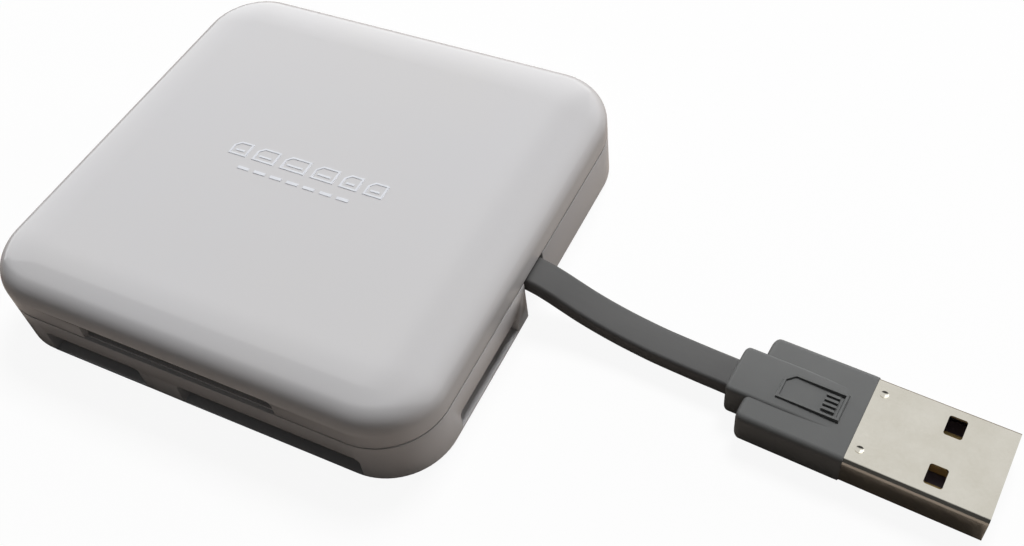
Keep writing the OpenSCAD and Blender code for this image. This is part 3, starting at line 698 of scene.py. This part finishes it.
# a raised line round a card, with sloping sides
def addCard(work, place, size, mark, low, high):
    slope, line = mark["slope"], mark["line"]
    rows = []
    for inward, z in [(0, low), (slope, high), (line - slope, high), (line, low)]:
        width, height = size[0] - 2 * inward, size[1] - 2 * inward
        outline = cardOutline(*place, width, height, mark["cut"] - cutInward * inward)
        rows.append([work.verts.new((*p, z)) for p in outline])
    addSkin(work, rows + rows[:1])


def makeTopMark(mark, top):
    work = bmesh.new()
    low, high = top - mark["sink"], top + mark["raise"]
    bar, thin = mark["middle"] - mark["barDown"], mark["barHalf"]
    for x, width in mark["cards"]:
        addCard(work, (x, mark["middle"]), (width, mark["height"]), mark, low, high)
        left, right = x - width / 2 + mark["barIn"], x + width / 2 - mark["barIn"]
        addBox(work, (left, bar - thin, low), (right, bar + thin, high))
    w, h = mark["dash"]
    for x in mark["dashes"]:
        addBox(work, (x - w / 2, mark["dashLow"] - h / 2, low),
               (x + w / 2, mark["dashLow"] + h / 2, high))
    addPiece("topMark", toMesh("topMark", work), "markPlastic")


makeTopMark(cardMark, housing["height"])


# Flat cable: the route's points are the solid's, in millimetres

cable = {
    "width": 4.2, "thick": 2.2, "edge": 0.5, "steps": 4, "sharp": 40,
    "route": [(26.5, 0.3, 5.9), (28.5, 0.3, 5.95), (30.5, 0.3, 5.9), (32.5, 0.2, 5.6),
              (34.5, 0.05, 5), (36.5, -0.15, 4.3), (38.5, -0.4, 3.7), (40.5, -0.65, 3.25),
              (42.5, -0.9, 2.9), (44.5, -1.15, 2.65), (46.5, -1.4, 2.5), (48.5, -1.65, 2.4),
              (50.5, -1.85, 2.35), (52.5, -2.05, 2.35), (54.5, -2.25, 2.35),
              (56.5, -2.42, 2.35), (58.2, -2.569, 2.35)],
}
plugPlace = {"back": (58.2, -2.569, 2.35), "yaw": -4.5}


# a smooth line through all points
def smoothRoute(points, steps):
    known = [Vector(p) for p in points]
    known = [2 * known[0] - known[1]] + known + [2 * known[-1] - known[-2]]
    line = []
    for a, b, c, d in zip(known, known[1:], known[2:], known[3:]):
        for k in range(steps):
            t = k / steps
            line.append(0.5 * (2 * b + t * (c - a) + t * t * (2 * a - 5 * b + 4 * c - d)
                               + t * t * t * (3 * b - a - 3 * c + d)))
    line.append(known[-2])
    return line


def makeCable(settings):
    line = smoothRoute(settings["route"], settings["steps"])
    section = roundSection(settings["width"] / 2, settings["thick"] / 2, settings["edge"])
    first = Vector((1, 0, 0))
    last = Vector((cos(radians(plugPlace["yaw"])), sin(radians(plugPlace["yaw"])), 0))
    ways = [(two - one).normalized() for one, two in zip(line, line[2:])]
    rings = []
    for spot, way in zip(line, [first] + ways + [last]):
        across = Vector((0, 0, 1)).cross(way).normalized()
        up = way.cross(across)
        rings.append([spot + a * across + b * up for a, b in section])
    work = bmesh.new()
    addLoft(work, rings)
    mesh = toMesh("usbCable", work)
    piece = addPiece("usbCable", mesh, "cableSheath", settings["sharp"])
    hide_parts("usb_cable")
    length = sum((b - a).length for a, b in zip(line, line[1:]))
    print("cable length in mm:", round(length, 2))
    return piece, [p * mm for p in line], length * mm


cablePiece, cablePath, cableLength = makeCable(cable)


# Grip of the plug, built along the plug's own line and then put in place

grip = {
    "neck": 2.4, "block": 12.4, "width": 12.3, "height": 4.7, "edge": 0.75, "sharp": 35,
    "backCorner": 0.9, "backEdge": 0.7, "backTurns": (8, 18, 30, 42, 54, 66, 78, 90),
    "along": [2.5, 4.0, 6.0, 8.0, 10.0], "frontStart": 0.6,
    "frontEdge": 0.12, "frontTurns": (30, 60, 90),
    "neckWidth": 6.6, "neckHeight": 4.6, "neckCorner": 0.7, "neckEdge": 0.5,
    "neckTurns": (10, 22, 35, 48, 62, 76, 90),
    "bandHigh": 0.15, "bandEdge": 0.55, "edgeShare": 0.9,
    "bandAlong": [2.0, 2.6, 3.5, 5.0, 7.0, 9.0, 11.0], "bandStop": 1.0,
    "bandFade": 7.0, "bandSink": 0.04,
}


def turned(points):
    turn = Matrix.Rotation(radians(plugPlace["yaw"]), 3, "Z")
    return [turn @ Vector(p) + Vector(plugPlace["back"]) for p in points]


# how far along a round is, after each of its turns
def roundStarts(radius, turns):
    return [radius * (1 - cos(radians(a))) for a in turns]


# half a size at a distance past a rounded end
def roundedHalf(half, radius, along):
    if along >= radius:
        return half
    return half - radius + sqrt(max(0.0, radius * radius - (radius - along) ** 2))


def addBlock(work, g):
    start, end, front = g["neck"], g["neck"] + g["block"], g["frontEdge"]
    stations = roundStarts(g["backCorner"], g["backTurns"]) + g["along"]
    rings = []
    for along in stations + [g["block"] - g["frontStart"]]:
        halfWidth = roundedHalf(g["width"] / 2, g["backCorner"], along)
        halfHeight = roundedHalf(g["height"] / 2, g["backEdge"], along)
        section = roundSection(halfWidth, halfHeight, g["edge"])
        rings.append([(start + along, a, b) for a, b in section])
    for turn in g["frontTurns"]:
        along = end - front + front * sin(radians(turn))
        shrink = front * (1 - cos(radians(turn)))
        section = roundSection(g["width"] / 2 - shrink, g["height"] / 2 - shrink,
                               g["edge"] - shrink)
        rings.append([(along, a, b) for a, b in section])
    addLoft(work, [turned(ring) for ring in rings])


# the neck and the band that runs on over the block and sinks into it
def addNeck(work, g):
    end = g["neck"] + g["block"] - g["bandStop"]
    rings = []
    for along in roundStarts(g["neckCorner"], g["neckTurns"]) + g["bandAlong"] + [end]:
        fade = max(0.0, (along - g["bandFade"]) / (end - g["bandFade"]))
        high = g["height"] / 2 + g["bandHigh"] * (1 - fade) - g["bandSink"] * fade
        top = roundedHalf(high, g["neckEdge"], along)
        low = -roundedHalf(g["neckHeight"] / 2, g["neckEdge"], along)
        halfWidth = roundedHalf(g["neckWidth"] / 2, g["neckCorner"], along)
        edge = min(g["bandEdge"], halfWidth * g["edgeShare"])
        section = roundSection(halfWidth, (top - low) / 2, edge)
        rings.append([(along, a, b + (top + low) / 2) for a, b in section])
    addLoft(work, [turned(ring) for ring in rings])


def makeGrip(g):
    work = bmesh.new()
    addBlock(work, g)
    addNeck(work, g)
    piece = addPiece("plugGrip", toMesh("plugGrip", work), "gripPlastic", g["sharp"])
    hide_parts("plug_grip")
    return piece


# generic raised mark on the band: a card's outline with four contact strips
gripMark = {
    "from": 5.4, "size": (7.4, 3.9), "line": 0.5, "cut": 1.1, "raise": 0.24, "slope": 0.12,
    "strips": (-0.96, -0.32, 0.32, 0.96), "strip": (1.5, 0.32), "stripIn": 0.35,
}


def makeGripMark(mark, g):
    low, high = g["height"] / 2, g["height"] / 2 + g["bandHigh"] + mark["raise"]
    middle = mark["from"] + mark["size"][0] / 2
    work = bmesh.new()
    addCard(work, (middle, 0), mark["size"], mark, low, high)
    end = middle + mark["size"][0] / 2 - mark["line"] - mark["stripIn"]
    long, wide = mark["strip"]
    for across in mark["strips"]:
        addBox(work, (end - long, across - wide / 2, low), (end, across + wide / 2, high))
    turn = Matrix.Rotation(radians(plugPlace["yaw"]), 4, "Z")
    place = Matrix.Translation(plugPlace["back"]) @ turn
    bmesh.ops.transform(work, verts=work.verts, matrix=place)
    return addPiece("gripMark", toMesh("gripMark", work), "gripPlastic", g["sharp"])


gripPiece = makeGrip(grip)
gripMarkPiece = makeGripMark(gripMark, grip)
print("cable and plug made")


# Studio: floor, backdrop and soft light

studio = {
    "floorSize": 3.0, "floorDrop": 0.0001,
    "floorSeen": (0.93, 0.93, 0.93), "floorBounce": (0.38, 0.328, 0.288),
    "seenWhite": 0.92, "shadowReach": 0.16, "shadowFade": 0.16,
    "ambient": 0.07,
    # what glossy surfaces mirror: a dark room, a pale wall behind and a window to the left of it
    "room": 0.06, "wall": 0.92, "wallFrom": -0.25, "wallSoft": 0.3,
    "window": 1.08, "windowFrom": 0.15, "windowSharp": 0.03, "windowTo": -0.3, "windowSoft": 0.3,
    "lowest": 0.001, "horizonSoft": 0.02,
    "aim": (0.005, -0.005, 0.005),
    "lamps": [
        # name, place, size, power, colour
        ("keyBack", (0.05, 0.70, 1.10), (0.5, 0.4), 15.3, (1.0, 0.995, 1.0)),
        ("rightSide", (1.16, 1.05, 0.30), (0.5, 0.6), 7.2, (1.0, 0.99, 0.98)),
        ("leftBack", (-0.95, 0.75, 0.14), (0.7, 0.25), 5.0, (1.0, 1.0, 1.0)),
    ],
}


def makeFloor(s):
    half = s["floorSize"] / 2
    corners = ((-half, -half, 0), (half, -half, 0), (half, half, 0), (-half, half, 0))
    work = bmesh.new()
    work.faces.new([work.verts.new(p) for p in corners])
    mesh = bpy.data.meshes.new("floor")
    work.to_mesh(mesh)
    work.free()
    floor = addObject("floor", mesh)
    floor.location.z = -s["floorDrop"]
    finish = Finish("floor", Roughness=1.0, Specular_IOR_Level=0.0)
    white = finish.add("ShaderNodeEmission", None, {"Color": (1, 1, 1, 1), "Strength": 1.0})
    seen = finish.seen()
    finish.feed("Base Color", finish.tint(seen, s["floorBounce"], s["floorSeen"]))
    away = finish.add("ShaderNodeVectorMath", {"operation": "LENGTH"}, {"Vector": finish.place()},
                      "Value")
    far = away.over(s["shadowReach"], s["shadowFade"])  # plain white away from the shadows
    share = seen * (s["seenWhite"] + (1 - s["seenWhite"]) * far)
    lit = Wire(finish.tree, finish.shader.outputs[0])
    parts = {"Fac": share, "Shader": lit, "Shader_001": white}
    mixed = finish.add("ShaderNodeMixShader", None, parts)
    output = next(n for n in finish.tree.nodes if n.type == "OUTPUT_MATERIAL")
    finish.tree.links.new(mixed.socket, output.inputs["Surface"])
    mesh.materials.append(finish.material)


def makeWorld(s):
    world = bpy.data.worlds.new("studio")
    world.use_nodes = True
    bpy.context.scene.world = world
    sky = Nodes(world.node_tree)
    back = sky.tree.nodes["Background"]
    back.inputs["Color"].default_value = (1, 1, 1, 1)
    way = {"Vector": sky.add("ShaderNodeTexCoord", out="Generated")}
    x, y, z = (sky.add("ShaderNodeSeparateXYZ", None, way, axis) for axis in "XYZ")
    up = z.top(s["lowest"])
    wall = (y / up).over(s["wallFrom"], s["wallSoft"]) * z.over(0.0, s["horizonSoft"])
    front = (y / up).over(s["windowFrom"], s["windowSharp"])
    side = (0 - x / up).over(-s["windowTo"], s["windowSoft"])
    window = front * side * wall
    mirrored = s["room"] + (s["wall"] - s["room"]) * wall + s["window"] * window
    glossy = sky.add("ShaderNodeLightPath", out="Is Glossy Ray")
    seen = sky.seen()
    plain = (1 - seen - glossy).top(0.0)
    strength = seen + glossy * mirrored + plain * s["ambient"]
    sky.tree.links.new(strength.socket, back.inputs["Strength"])


def makeLamps(s):
    for name, place, size, power, colour in s["lamps"]:
        data = bpy.data.lights.new(name, "AREA")
        data.shape = "RECTANGLE"
        data.size, data.size_y = size
        data.energy = power
        data.color = colour
        lamp = addObject(name, data)
        lamp.location = place
        lamp.visible_glossy = False
        way = Vector(s["aim"]) - Vector(place)
        lamp.rotation_euler = way.to_track_quat("-Z", "Y").to_euler()


makeFloor(studio)
makeWorld(studio)
makeLamps(studio)
bpy.context.scene.view_settings.view_transform = "Standard"
print("studio made")
